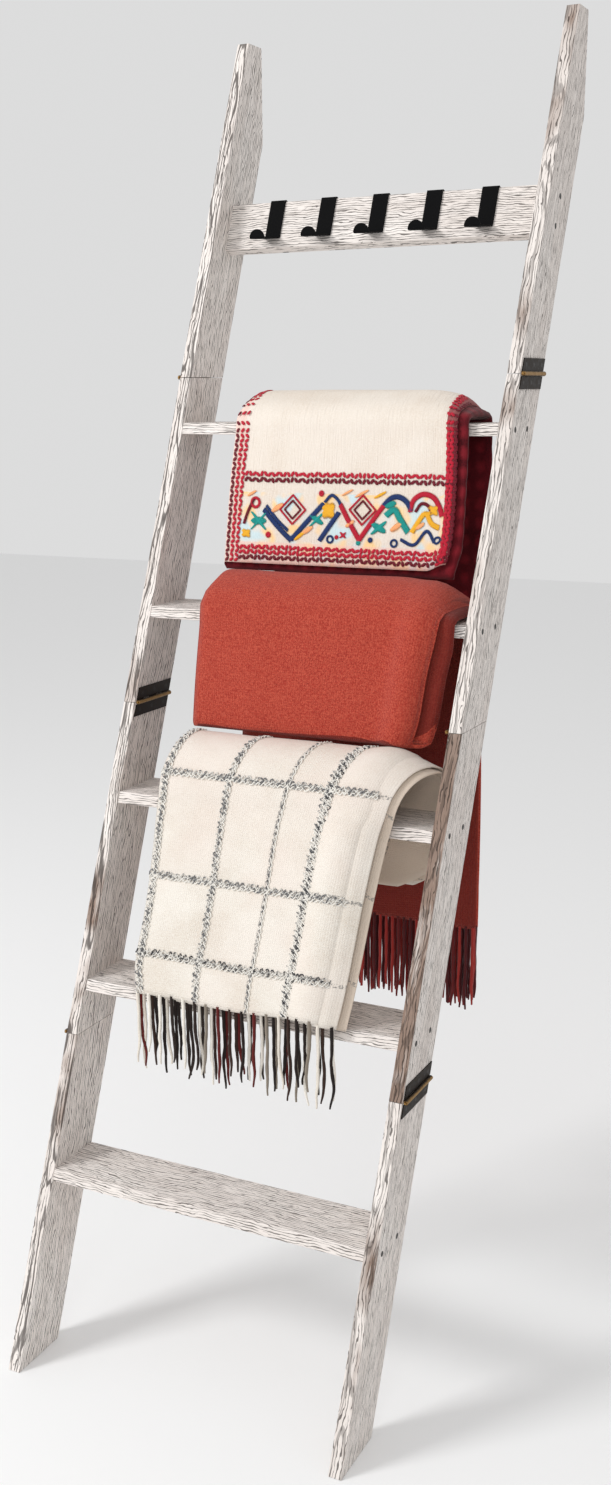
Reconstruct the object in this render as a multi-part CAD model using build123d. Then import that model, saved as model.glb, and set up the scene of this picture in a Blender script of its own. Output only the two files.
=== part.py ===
"""Leaning blanket ladder with a hook board and three folded throws.

Frame: +Z up, floor at z = 0, the open front towards -Y, the wall towards +Y.
The origin is on the floor, midway between the rails and midway between the
front of the feet and the wall. Millimetres throughout.
"""
import os
from math import cos, radians, sin, tan

from build123d import *

# Ladder
LEAN = 22.3                 # angle of the rails from the vertical, towards the wall
TOP_HEIGHT = 1830.0         # level top of the rails
RAIL_THICKNESS = 19.0
RAIL_BOARD = 88.0           # width of a rail board, square to its length
INNER_WIDTH = 489.0         # clear width between the rails
TOP_FLAT = 40.0             # level top left in front of the cut that meets the wall
FIRST_SEAM = 450.0          # height of the lowest hinged seam
SEAM_PITCH = 452.5
SEAM_GAP = 0.8
FIRST_TREAD = 270.0         # top face of the lowest tread
TREAD_PITCH = 255.3
TREAD_COUNT = 5
TREAD_THICKNESS = 16.0
TREAD_SETBACK = 1.2         # behind the front of the rails, and as far from their back
EDGE_EASE = 1.0             # rounding along the long edges of the boards

# Hook board and hooks
BOARD_HEIGHT = 70.0
BOARD_THICKNESS = 18.0
BOARD_TOP = 1599.0          # height of the middle of its top edge
HOOK_COUNT = 5
HOOK_PITCH = 83.0
HOOK_SHIFT = -1.5           # the row of hooks stands a little left of the middle
HOOK_WIDTH = 24.0
HOOK_STRIP = 2.0            # thickness of the bent strip
HOOK_BEND = 2.5             # radius of its bends, at the middle of its thickness
HOOK_DROP = 56.0            # from the top of the board down its front
HOOK_REACH = 48.0           # length of the arm, forward from the board
HOOK_DIP = 4.5              # the arm falls this many degrees below level
HOOK_TAIL = 24.0
HOOK_SLACK = 0.4            # between the strip and the board

# Hinges
LEAF_HEIGHT = 20.0
LEAF_THICKNESS = 1.6
LEAF_INSET = 4.0            # from the edges of the rail
KNUCKLE_RADIUS = 3.2
KNUCKLE_COUNT = 5
KNUCKLE_GAP = 0.3
PIN_RADIUS = 1.5
PIN_CLEARANCE = 0.08
PIN_OVERHANG = 3.0

# Screws: head radius, head depth, shank radius, length
LONG_SCREW = (4.0, 2.6, 2.0, 45.0)
SHORT_SCREW = (2.9, 1.4, 1.3, 13.0)
SCREW_FIT = 0.05
TREAD_SCREWS = (17.0, 66.0)  # behind the front of the rail, level
BOARD_SCREW_INSET = 14.0     # from the top and bottom edges of the hook board

# Folded throws. ends: left and right of the centre line. front and back legs: gap between
# the outer face and the edge of the tread, forward lean per millimetre down, length below
# the top of the tread. rise and hollow: outer and inner height over the tread.
THROWS = {
    "quilt": {"tread": 4, "ends": (-156, 206), "thickness": 18, "rise": 46, "hollow": 3,
              "front": (26, 0.10, 193), "back": (20, 0.0, 301)},
    "wool_throw": {"tread": 3, "ends": (-158, 232), "thickness": 20, "rise": 54, "hollow": 3,
                   "front": (28, 0.10, 162), "back": (24, 0.0, 461)},
    "plaid_throw": {"tread": 2, "ends": (-164, 232), "thickness": 22, "rise": 92, "hollow": 60,
                    "front": (26, tan(radians(LEAN)), 265), "back": (24, 0.0, 120)},
}
FRINGE_THICKNESS = 12.0
WOOL_FRINGE = 125.0         # length of the fringe below the back hem of the wool throw
PLAID_FRINGE = 106.0        # length of the fringe below the front hem of the plaid throw
PLAID_SKEW = 52.0           # how much further left the front right corner of the plaid lies

SLOPE = tan(radians(LEAN))
RAIL_DEPTH = RAIL_BOARD / cos(radians(LEAN))       # rail board measured level
WALL_DISTANCE = TOP_HEIGHT * SLOPE + TOP_FLAT      # wall from the front of the feet
FOOT_Y = -WALL_DISTANCE / 2
WALL_Y = WALL_DISTANCE / 2
INNER_X = INNER_WIDTH / 2
OUTER_X = INNER_X + RAIL_THICKNESS
SEAMS = [FIRST_SEAM + i * SEAM_PITCH for i in range(3)]
TREAD_TOPS = [FIRST_TREAD + i * TREAD_PITCH for i in range(TREAD_COUNT)]
SECTIONS = ("foot", "lower", "upper", "top")
SIDES = {"left": -1, "right": 1}


def front_y(z):
    """Y of the front edge of the rails at height z."""
    return FOOT_Y + z * SLOPE


def prism(points, x_from, x_to):
    """Extrude a closed Y-Z outline along X."""
    face = make_face(Polyline(*[(x_from, y, z) for y, z in points], close=True))
    return extrude(face, amount=x_to - x_from, dir=(1, 0, 0))


def rod(start, direction, radius, length):
    """Round bar from start, along direction."""
    return Plane(start, z_dir=direction) * Cylinder(
        radius, length, align=(Align.CENTER, Align.CENTER, Align.MIN))


def screw(start, direction, size, fit=0.0):
    """Countersunk screw with its head flush at start; fit swells it into its own hole."""
    head, depth, shank, length = size
    cone = Plane(start, z_dir=direction) * Cone(
        head + fit, shank + fit, depth, align=(Align.CENTER, Align.CENTER, Align.MIN))
    return cone + rod(start, direction, shank + fit, length)


def save(name, solids):
    shape = Compound(children=list(solids)) if isinstance(solids, (list, tuple)) else solids
    export_step(shape, f"parts/{name}.step")


# --- rails ----------------------------------------------------------------

def rail_section(side, index):
    """One board of a rail, cut level at both ends; the top one is cut to the wall."""
    low = 0.0 if index == 0 else SEAMS[index - 1] + SEAM_GAP / 2
    high = TOP_HEIGHT if index == 3 else SEAMS[index] - SEAM_GAP / 2
    outline = [(front_y(low), low), (front_y(low) + RAIL_DEPTH, low)]
    if index == 3:
        cut_height = (WALL_Y - FOOT_Y - RAIL_DEPTH) / SLOPE
        outline += [(WALL_Y, cut_height), (WALL_Y, high)]
    else:
        outline += [(front_y(high) + RAIL_DEPTH, high)]
    outline += [(front_y(high), high)]
    x_from = INNER_X if side > 0 else -OUTER_X
    board = prism(outline, x_from, x_from + RAIL_THICKNESS)
    grain = Vector(0, sin(radians(LEAN)), cos(radians(LEAN)))
    long_edges = [e for e in board.edges() if abs((e % 0.5).dot(grain)) > cos(radians(1))]
    return fillet(long_edges, EDGE_EASE)


# --- treads and hook board ------------------------------------------------

def tread(index):
    """Level plank whose front and back are planed to the lean of the rails."""
    top = TREAD_TOPS[index]
    bottom = top - TREAD_THICKNESS
    depth = RAIL_DEPTH - 2 * TREAD_SETBACK
    outline = [(front_y(z) + TREAD_SETBACK + offset, z)
               for z, offset in ((bottom, 0), (bottom, depth), (top, depth), (top, 0))]
    plank = prism(outline, -INNER_X, INNER_X)
    return fillet(plank.edges().filter_by(Axis.X), EDGE_EASE)


def board_plane():
    """Plane at the middle of the hook board's top edge: x along the board, y up the lean,
    z out of its front."""
    out = (0, -cos(radians(LEAN)), sin(radians(LEAN)))
    middle_y = front_y(BOARD_TOP) + RAIL_DEPTH / 2
    return Plane((0, middle_y, BOARD_TOP), x_dir=(1, 0, 0), z_dir=out)


def hook_board():
    board = Box(INNER_WIDTH, BOARD_HEIGHT, BOARD_THICKNESS,
                align=(Align.CENTER, Align.MAX, Align.CENTER))
    board = fillet(board.edges().filter_by(Axis.X), EDGE_EASE)
    return board_plane() * board


def hook(index):
    """Flat strip bent over the board, down its front, forward in an arm and up to a lip
    whose end is a half round."""
    middle = BOARD_THICKNESS / 2 + HOOK_SLACK + HOOK_STRIP / 2
    top = HOOK_SLACK + HOOK_STRIP / 2
    fall = radians(LEAN + HOOK_DIP)
    arm = (middle + HOOK_REACH * cos(fall), -HOOK_DROP - HOOK_REACH * sin(fall))
    lip = HOOK_WIDTH / 2
    tip = (arm[0] + lip * sin(fall), arm[1] + lip * cos(fall))
    route = [(-middle, -HOOK_TAIL), (-middle, top), (middle, top), (middle, -HOOK_DROP), arm, tip]
    side_on = Plane((0, 0, 0), x_dir=(0, 0, 1), z_dir=(-1, 0, 0))
    strip = trace(FilletPolyline(*route, radius=HOOK_BEND), HOOK_STRIP)
    body = extrude(side_on * strip, amount=HOOK_WIDTH / 2, both=True)
    across = Plane((0, tip[1], tip[0]), x_dir=(1, 0, 0), z_dir=(0, sin(fall), -cos(fall)))
    corners = Box(HOOK_WIDTH + 2, HOOK_WIDTH, 3 * HOOK_STRIP) - Pos(
        0, HOOK_WIDTH / 2, 0) * Cylinder(HOOK_WIDTH / 2, 4 * HOOK_STRIP)
    return board_plane() * Pos(hook_x(index), 0, 0) * (body - across * corners)


def hook_x(index):
    return HOOK_SHIFT + (index - (HOOK_COUNT - 1) / 2) * HOOK_PITCH


# --- hinges ---------------------------------------------------------------

def hinge_face(side, seam_index):
    """X of the rail face that carries the hinge, and the way it faces. The seams fold
    alternately, so the middle hinges sit on the inner faces."""
    if seam_index == 1:
        return side * INNER_X, -side
    return side * OUTER_X, side


def knuckle_spans(seam):
    length = RAIL_DEPTH - 2 * LEAF_INSET
    step = length / KNUCKLE_COUNT
    start = front_y(seam) + LEAF_INSET
    return [(start + i * step + KNUCKLE_GAP / 2, start + (i + 1) * step - KNUCKLE_GAP / 2)
            for i in range(KNUCKLE_COUNT)]


def slab(outline, face_x, out, thickness):
    """Plate standing on the rail face at face_x, on the side it faces."""
    return prism(outline, face_x if out > 0 else face_x - thickness,
                 face_x + thickness if out > 0 else face_x)


def hinge_leaf(side, seam_index, up):
    """Leaf with its ends cut to the slant of the rail, and every other knuckle."""
    seam = SEAMS[seam_index]
    face_x, out = hinge_face(side, seam_index)
    length = RAIL_DEPTH - 2 * LEAF_INSET
    near = seam + up * (KNUCKLE_RADIUS + KNUCKLE_GAP)
    far = seam + up * LEAF_HEIGHT
    outline = [(front_y(z) + LEAF_INSET + offset, z)
               for z, offset in ((near, 0), (near, length), (far, length), (far, 0))]
    leaf = slab(outline, face_x, out, LEAF_THICKNESS)
    axis_x = face_x + out * KNUCKLE_RADIUS
    bore = rod((axis_x, front_y(seam), seam), (0, 1, 0), PIN_RADIUS + PIN_CLEARANCE, RAIL_DEPTH)
    for number, (y_from, y_to) in enumerate(knuckle_spans(seam)):
        if (number % 2 == 0) != (up > 0):
            continue
        tab = [(y_from, seam), (y_to, seam), (y_to, near), (y_from, near)]
        leaf += slab(tab, face_x, out, LEAF_THICKNESS)
        leaf += rod((axis_x, y_from, seam), (0, 1, 0), KNUCKLE_RADIUS, y_to - y_from)
    return leaf - bore


def hinge_pin(side, seam_index):
    seam = SEAMS[seam_index]
    face_x, out = hinge_face(side, seam_index)
    length = RAIL_DEPTH - 2 * LEAF_INSET + 2 * PIN_OVERHANG
    start = (face_x + out * KNUCKLE_RADIUS, front_y(seam) + LEAF_INSET - PIN_OVERHANG, seam)
    return fillet(rod(start, (0, 1, 0), PIN_RADIUS, length).edges(), PIN_RADIUS / 2)


def hinge_screws(side, seam_index, fit=0.0):
    """Three countersunk screws in each leaf, from the face of the leaf into the rail."""
    seam = SEAMS[seam_index]
    face_x, out = hinge_face(side, seam_index)
    length = RAIL_DEPTH - 2 * LEAF_INSET
    found = []
    for up in (1, -1):
        z = seam + up * (LEAF_HEIGHT + KNUCKLE_RADIUS) / 2
        for share in (0.13, 0.5, 0.87):
            start = (face_x + out * LEAF_THICKNESS, front_y(z) + LEAF_INSET + share * length, z)
            found.append(screw(start, (-out, 0, 0), SHORT_SCREW, fit))
    return found


# --- tread and board screws -----------------------------------------------

def tread_screws(side, fit=0.0):
    found = []
    for top in TREAD_TOPS:
        z = top - TREAD_THICKNESS / 2
        found += [screw((side * OUTER_X, front_y(z) + back, z), (-side, 0, 0), LONG_SCREW, fit)
                  for back in TREAD_SCREWS]
    return found


def board_screws(side, fit=0.0):
    found = []
    for down in (BOARD_SCREW_INSET, BOARD_HEIGHT - BOARD_SCREW_INSET):
        spot = board_plane().from_local_coords(Vector(0, -down, 0))
        found.append(screw((side * OUTER_X, spot.Y, spot.Z), (-side, 0, 0), LONG_SCREW, fit))
    return found


# --- folded throws --------------------------------------------------------

def tread_edges(tread_index):
    """Y of the front and back edges of a tread's top face."""
    front = front_y(TREAD_TOPS[tread_index]) + TREAD_SETBACK
    return front, front + RAIL_DEPTH - 2 * TREAD_SETBACK


def hem(throw, leg):
    """Y of the outer face and height of a throw's lower edge, on one of its legs."""
    top = TREAD_TOPS[throw["tread"]]
    front_edge, back_edge = tread_edges(throw["tread"])
    offset, lean, length = throw[leg]
    outer = front_edge - offset if leg == "front" else back_edge + offset
    return outer - lean * length, top - length


def folded_throw(throw):
    """Folded throw hung over a tread: two legs joined by a rounded crest."""
    top = TREAD_TOPS[throw["tread"]]
    front_edge, back_edge = tread_edges(throw["tread"])
    outer_front = front_edge - throw["front"][0]
    outer_back = back_edge + throw["back"][0]
    middle = (outer_front + outer_back) / 2
    half = (outer_back - outer_front) / 2
    thick = throw["thickness"]
    plane = Plane((0, middle, top), x_dir=(0, 1, 0), z_dir=(1, 0, 0))

    def crest(across, rise):
        return EllipticalCenterArc((0, 0), across, rise, start_angle=0, arc_size=180)

    (front_hem_y, front_hem_z), (back_hem_y, back_hem_z) = hem(throw, "front"), hem(throw, "back")
    corners = [(outer_front, top), (front_hem_y, front_hem_z), (front_hem_y + thick, front_hem_z),
               (outer_front + thick, top), (outer_back - thick, top),
               (back_hem_y - thick, back_hem_z), (back_hem_y, back_hem_z), (outer_back, top)]
    local = [(y - middle, z - top) for y, z in corners]
    lines = [crest(half, throw["rise"])]
    lines += [Polyline(*local[:4]), crest(half - thick, throw["hollow"]), Polyline(*local[4:])]
    face = plane * make_face(lines)
    low, high = throw["ends"]
    return Pos(low, 0, 0) * extrude(face, amount=high - low, dir=(1, 0, 0))


def skew_cut(throw):
    """Wedge off the right end, so that the front of the plaid stops short of its back."""
    outer_front = tread_edges(throw["tread"])[0] - throw["front"][0]
    front_hem_y, front_hem_z = hem(throw, "front")
    crest_y = sum(tread_edges(throw["tread"])) / 2
    right = throw["ends"][1]
    reach = front_hem_y - 1
    plan = [(right - PLAID_SKEW, reach), (right - PLAID_SKEW, outer_front), (right, crest_y),
            (right + 1, crest_y), (right + 1, reach)]
    height = TREAD_TOPS[throw["tread"]] + throw["rise"] + 1 - (front_hem_z - 1)
    face = make_face(Polyline(*[(x, y, front_hem_z - 1) for x, y in plan], close=True))
    return extrude(face, amount=height, dir=(0, 0, 1))


def fringe(throw, leg, length, right):
    """Fringe hanging plumb from the middle of a hem."""
    hem_y, hem_z = hem(throw, leg)
    inward = 1 if leg == "front" else -1
    middle = hem_y + inward * throw["thickness"] / 2
    low = throw["ends"][0]
    return Pos(low, middle, hem_z) * Box(right - low, FRINGE_THICKNESS, length,
                                         align=(Align.MIN, Align.CENTER, Align.MAX))


# --- assembly -------------------------------------------------------------

def drilled(solid, cutters):
    """Cut the holes of the screws that reach into a board."""
    box = solid.bounding_box()
    for cutter in cutters:
        spot = cutter.bounding_box()
        near = (spot.min.Z < box.max.Z and spot.max.Z > box.min.Z
                and spot.min.X < box.max.X and spot.max.X > box.min.X)
        if near:
            solid = solid - cutter
    return solid


def main():
    os.makedirs("parts", exist_ok=True)
    cutters = []
    for side in SIDES.values():
        cutters += tread_screws(side, SCREW_FIT) + board_screws(side, SCREW_FIT)
        for seam_index in range(3):
            cutters += hinge_screws(side, seam_index, SCREW_FIT)

    for side_name, side in SIDES.items():
        for index, section in enumerate(SECTIONS):
            save(f"{side_name}_rail_{section}", drilled(rail_section(side, index), cutters))
        for seam_index, place in enumerate(("low", "middle", "high")):
            own = hinge_screws(side, seam_index, SCREW_FIT)
            name = f"{side_name}_hinge_{place}"
            save(f"{name}_upper_leaf", drilled(hinge_leaf(side, seam_index, 1), own))
            save(f"{name}_lower_leaf", drilled(hinge_leaf(side, seam_index, -1), own))
            save(f"{name}_pin", hinge_pin(side, seam_index))
        save(f"{side_name}_hinge_screws",
             [s for seam_index in range(3) for s in hinge_screws(side, seam_index)])
        save(f"{side_name}_tread_screws", tread_screws(side))

    for index in range(TREAD_COUNT):
        save(f"tread_{index + 1}", drilled(tread(index), cutters))
    save("hook_board", drilled(hook_board(), cutters))
    save("hook_board_screws", board_screws(-1) + board_screws(1))
    for index in range(HOOK_COUNT):
        save(f"hook_{index + 1}", hook(index))

    plaid, wool = THROWS["plaid_throw"], THROWS["wool_throw"]
    save("quilt", folded_throw(THROWS["quilt"]))
    save("wool_throw", folded_throw(wool))
    save("wool_fringe", fringe(wool, "back", WOOL_FRINGE, wool["ends"][1]))
    save("plaid_throw", folded_throw(plaid) - skew_cut(plaid))
    save("plaid_fringe", fringe(plaid, "front", PLAID_FRINGE, plaid["ends"][1] - PLAID_SKEW))


if __name__ == "__main__":
    main()
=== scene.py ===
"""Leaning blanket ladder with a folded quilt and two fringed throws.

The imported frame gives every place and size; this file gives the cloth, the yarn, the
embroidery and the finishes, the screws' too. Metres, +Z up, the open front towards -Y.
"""
from math import cos, pi, radians, sin, tan

import bpy
import numpy as np
from mathutils import Euler, Matrix, Vector, noise


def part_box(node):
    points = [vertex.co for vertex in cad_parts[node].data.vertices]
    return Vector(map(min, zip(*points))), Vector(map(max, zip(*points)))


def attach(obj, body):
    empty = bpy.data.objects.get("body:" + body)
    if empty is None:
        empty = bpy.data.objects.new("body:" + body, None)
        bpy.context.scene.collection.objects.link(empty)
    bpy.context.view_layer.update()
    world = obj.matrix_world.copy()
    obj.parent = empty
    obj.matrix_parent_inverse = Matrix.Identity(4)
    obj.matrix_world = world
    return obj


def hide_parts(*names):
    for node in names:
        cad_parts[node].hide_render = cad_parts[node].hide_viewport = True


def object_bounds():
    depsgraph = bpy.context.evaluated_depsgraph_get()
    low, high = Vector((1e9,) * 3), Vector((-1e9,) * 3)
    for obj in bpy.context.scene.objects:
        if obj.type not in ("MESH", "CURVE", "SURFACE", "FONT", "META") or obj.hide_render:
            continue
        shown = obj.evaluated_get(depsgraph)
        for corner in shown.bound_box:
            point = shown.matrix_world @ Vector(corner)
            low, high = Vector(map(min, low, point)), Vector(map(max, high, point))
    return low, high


bl_info = {
    "name": "Blanket Ladder",
    "version": (1, 0, 0),
    "blender": (4, 5, 0),
    "location": "View3D > Sidebar > Ladder",
    "description": "Dresses a leaning blanket ladder with a folded quilt and two fringed throws",
    "category": "Add Mesh",
}

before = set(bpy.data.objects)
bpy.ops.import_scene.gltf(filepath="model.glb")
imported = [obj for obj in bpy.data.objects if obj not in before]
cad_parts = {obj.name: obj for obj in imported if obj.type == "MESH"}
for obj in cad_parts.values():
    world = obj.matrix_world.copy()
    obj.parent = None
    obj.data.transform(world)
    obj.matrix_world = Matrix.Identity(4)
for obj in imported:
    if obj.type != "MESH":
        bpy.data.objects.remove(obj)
CAD_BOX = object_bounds()

LEAN = radians(22.3)          # rails from the vertical
SIDES = {"left": -1, "right": 1}
SECTIONS = ("foot", "lower", "upper", "top")
TREADS = [f"tread_{i}" for i in range(1, 6)]
HINGES = ("low", "middle", "high")
HOOKS = [f"hook_{i}" for i in range(1, 6)]

FOLDED_WIDTH = 0.36           # near the width of each cloth as it hangs
CLOTH_FILL = 0.82             # share of a layer's room that the cloth takes up
THREAD_RISE = 0.0018          # height of a stitch of embroidery
QUILTING = (0.022, 0.026)     # between the quilt's seams, across and along
BAND_ROWS = 75                # rows in the drawing of the embroidered band, 1 mm to a column


# --- small tools ------------------------------------------------------------

def scene_object(name, data):
    made = bpy.data.objects.new(name, data)
    bpy.context.scene.collection.objects.link(made)
    return made


def mesh_object(name, points, faces, material, smooth=True):
    """Mesh object with its place in its mesh."""
    mesh = bpy.data.meshes.new(name)
    mesh.from_pydata([tuple(p) for p in points], [], faces)
    mesh.polygons.foreach_set("use_smooth", [smooth] * len(mesh.polygons))
    mesh.update()
    if material:
        mesh.materials.append(material)
    return scene_object(name, mesh)


def smoothstep(x, low, high):
    t = np.clip((np.asarray(x, float) - low) / (high - low), 0, 1)
    return t * t * (3 - 2 * t)


def bumps(points, seed):
    """Smooth noise between about -1 and 1 at each row of points."""
    shift = Vector((seed * 7.3, seed * 3.1, seed * 5.7))
    return np.array([noise.noise(Vector(p) + shift) for p in points]) * 1.6


# --- shader building --------------------------------------------------------

class Nodes:
    """Short hand for the node tree of a material or of geometry."""

    def put(self, value, socket):
        """Link a value that a node gives, or set a plain one."""
        if isinstance(value, bpy.types.NodeSocket):
            self.tree.links.new(value, socket)
        else:
            socket.default_value = value

    def node(self, kind, inputs=None, **settings):
        made = self.tree.nodes.new(kind)
        for key, value in settings.items():
            setattr(made, key, value)
        for key, value in (inputs or {}).items():
            self.put(value, made.inputs[key])
        return made

    def math(self, operation, a, b=0.0):
        return self.node("ShaderNodeMath", {0: a, 1: b}, operation=operation).outputs[0]

    def mul(self, a, b):
        return self.math("MULTIPLY", a, b)

    def add(self, a, b):
        return self.math("ADD", a, b)

    def sub(self, a, b):
        return self.math("SUBTRACT", a, b)

    def most(self, a, b):
        return self.math("MAXIMUM", a, b)


class Shader(Nodes):
    """Node tree of one material around its surface."""

    def __init__(self, name):
        self.material = bpy.data.materials.new(name)
        self.material.use_nodes = True
        self.tree = self.material.node_tree
        self.tree.nodes.clear()
        self.surface = self.node("ShaderNodeBsdfPrincipled")
        out = self.node("ShaderNodeOutputMaterial")
        self.put(self.surface.outputs[0], out.inputs[0])

    def set(self, **values):
        """Sockets of the surface, by name with underscores."""
        for key, value in values.items():
            self.put(value, self.surface.inputs[key.replace("_", " ")])

    def place(self, turn=(0, 0, 0), shift=(0, 0, 0), scale=(1, 1, 1), source="Object"):
        """Coordinates in metres, turned and shifted onto a board or a cloth."""
        coordinates = self.node("ShaderNodeTexCoord").outputs[source]
        return self.node("ShaderNodeMapping", {
            "Vector": coordinates, "Rotation": turn, "Location": shift, "Scale": scale}).outputs[0]

    def stretched(self, vector, scale):
        return self.node("ShaderNodeMapping", {"Vector": vector, "Scale": scale}).outputs[0]

    def noise(self, vector, scale, detail=3.0, rough=0.5):
        """Noise at one scale, or at a scale for each axis."""
        if isinstance(scale, tuple):
            vector, scale = self.stretched(vector, scale), 1.0
        return self.node("ShaderNodeTexNoise", {
            "Vector": vector, "Scale": scale, "Detail": detail,
            "Roughness": rough}).outputs["Fac"]

    def ramp(self, value, *stops):
        """Grey or colour ramp: stops are (place, grey or colour)."""
        made = self.node("ShaderNodeValToRGB", {"Fac": value})
        points = made.color_ramp.elements
        while len(points) < len(stops):
            points.new(1.0)
        for point, (place, colour) in zip(points, stops):
            point.position = place
            point.color = colour if isinstance(colour, tuple) else (colour, colour, colour, 1)
        return made.outputs[0]

    def mix(self, share, a, b):
        return self.node("ShaderNodeMix", {0: share, 6: a, 7: b}, data_type="RGBA").outputs[2]

    def split(self, vector):
        return self.node("ShaderNodeSeparateXYZ", {0: vector}).outputs

    def bump(self, *layers):
        """Bumps laid over each other: (height, depth in metres)."""
        normal = None
        for height, depth in layers:
            made = self.node("ShaderNodeBump", {"Height": height, "Distance": depth})
            if normal:
                self.put(normal, made.inputs["Normal"])
            normal = made.outputs[0]
        self.put(normal, self.surface.inputs["Normal"])


def srgb(red, green, blue):
    """Linear colour from the usual 0 to 255 steps."""
    return tuple(((c / 255 + 0.055) / 1.055) ** 2.4 if c > 10 else c / 3295
                 for c in (red, green, blue)) + (1.0,)


# --- wood -------------------------------------------------------------------

def board_wood(name, turn, shift, front, heavy):
    """Whitewashed board with dark open grain along its own Z, and a worn front edge.

    front is the place of the front edge across the board, or None. heavy is how far the
    grain is opened on that edge, and how far the edge is rubbed to bare wood."""
    wood = Shader(name)
    along = wood.place(turn)
    moved = wood.node("ShaderNodeMapping", {"Vector": along, "Location": shift}).outputs[0]
    sway = wood.noise(moved, (9, 9, 7), 2.0)
    sway = wood.node("ShaderNodeCombineXYZ", {
        0: wood.mul(sway, 0.010), 1: wood.mul(sway, 0.014)}).outputs[0]
    bent = wood.node("ShaderNodeVectorMath", {0: moved, 1: sway}, operation="ADD").outputs[0]
    bent_x, bent_y, _ = wood.split(bent)
    ripple = wood.noise(moved, (120, 120, 42), 2.0)
    comb = wood.add(wood.add(bent_y, wood.mul(bent_x, 0.9)), wood.mul(ripple, 0.0085))
    comb = wood.math("PINGPONG", wood.mul(comb, 2 / GRAIN_PITCH), 1.0)
    broken = wood.noise(bent, (260, 260, 46), 1.0)
    dashes = wood.mul(wood.math("LESS_THAN", comb, wood.sub(broken, 0.31)), 0.92)
    specks = wood.ramp(wood.noise(bent, (1100, 1100, 60), 1.0, 0.4), (0.28, 0.4), (0.34, 0.0))
    wide = wood.stretched(bent, (38, 38, 3.2))
    rings = wood.math("PINGPONG", wood.mul(wood.noise(wide, 1.0, 1.5, 0.4), 11.0), 0.5)
    patch = wood.noise(moved, (10, 10, 4), 3.0, 0.6)
    lines = wood.mul(wood.ramp(rings, (0.0, 0.9), (0.025, 0.6), (0.055, 0.0)),
                     wood.ramp(patch, (0.45, 0.10), (0.62, 1.0)))
    grain = wood.most(wood.most(dashes, specks), lines)
    tone = wood.mix(wood.ramp(patch, (0.3, 0.0), (0.7, 1.0)), WASH[0], WASH[1])
    streak = wood.noise(wood.stretched(bent, (520, 520, 26)), 0.22, 2.0)
    tone = wood.mix(wood.ramp(streak, (0.38, 0.16), (0.60, 0.0)), tone, WASH[2])
    if front is not None:
        uneven = wood.mul(wood.sub(wood.noise(wide, 2.0, 4.0, 0.7), 0.5), 0.006)
        depth = wood.add(wood.sub(wood.split(along)[1], front), uneven)
        near = wood.ramp(wood.mul(depth, 100.0), (0.02, 1.0), (0.16, 0.0))
        narrow = wood.mul(near, wood.ramp(rings, (0.0, 1.0), (0.10, 0.9), (0.15, 0.0)))
        opened, rubbed = heavy
        grain = wood.most(grain, wood.mul(narrow, opened))
        worn = wood.mul(near, wood.ramp(wood.noise(moved, (5, 5, 2.4), 4.0, 0.7),
                                        (0.50 - rubbed, 0.0), (0.60 - rubbed, 1.0)))
        tone = wood.mix(wood.mul(worn, 0.85), tone, BARE_WOOD)
    colour = wood.mix(wood.mul(grain, 0.86), tone, OPEN_GRAIN)
    wood.set(Base_Color=colour, Roughness=0.74, Specular_IOR_Level=0.25)
    wood.bump((wood.sub(1.0, grain), 0.0005), (streak, 0.0002))
    return wood.material


WASH = (srgb(226, 217, 211), srgb(242, 236, 231), srgb(190, 176, 166))
BARE_WOOD = srgb(118, 88, 68)
OPEN_GRAIN = srgb(44, 34, 29)
GRAIN_PITCH = 0.0042          # between the open lines of the grain
RAIL_FRONT = -0.3657          # the rails' front plane, in coordinates turned to their lean


class LADDER_OT_wood(bpy.types.Operator):
    """Finish every rail, tread and the hook board in whitewashed wood"""
    bl_idname = "ladder.wood"
    bl_label = "Whitewashed wood"

    def execute(self, context):
        for side in SIDES:
            for index, section in enumerate(SECTIONS):
                name = f"{side}_rail_{section}"
                seed = index * 1.37 + (4.1 if side == "left" else 0.0)
                worn = 0.16 if name == "right_rail_lower" else -0.02
                heavy = (1.0 if side == "left" else 0.55, worn)
                dress(name, board_wood(f"wood_{name}", (LEAN, 0, 0), (seed, 0.4, seed),
                                       RAIL_FRONT, heavy))
        for index, name in enumerate(TREADS):
            dress(name, board_wood(f"wood_{name}", (0, radians(90), 0),
                                   (index * 0.71, 0.3, index), None, None))
        dress("hook_board", board_wood("wood_hook_board", (0, radians(90), 0),
                                       (3.3, 0.1, 0.4), None, None))
        return {"FINISHED"}


def dress(node, material):
    """Give a CAD node its finish."""
    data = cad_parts[node].data
    data.materials.clear()
    data.materials.append(material)


# --- metal ------------------------------------------------------------------

def bronze(name, seam):
    """Dark antique bronze, rubbed to brass along the barrel of the hinge."""
    metal = Shader(name)
    place = metal.place()
    z = metal.split(place)[2]
    off = metal.math("ABSOLUTE", metal.sub(z, seam))
    rough = metal.mul(metal.noise(place, 260.0, 3.0, 0.6), 0.5)
    rub = metal.ramp(metal.add(metal.mul(off, 180.0), rough), (0.50, 1.0), (0.80, 0.0))
    colour = metal.mix(metal.mul(rub, 0.75), srgb(34, 27, 22), srgb(176, 138, 84))
    mottle = metal.noise(place, 190.0, 4.0, 0.6)
    colour = metal.mix(metal.ramp(mottle, (0.5, 0.0), (0.75, 0.35)), colour, srgb(84, 66, 48))
    metal.set(Base_Color=colour, Metallic=0.6, Specular_IOR_Level=0.3,
              Roughness=metal.ramp(mottle, (0.3, 0.42), (0.7, 0.62)))
    metal.bump((mottle, 0.0001))
    return metal.material


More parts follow.
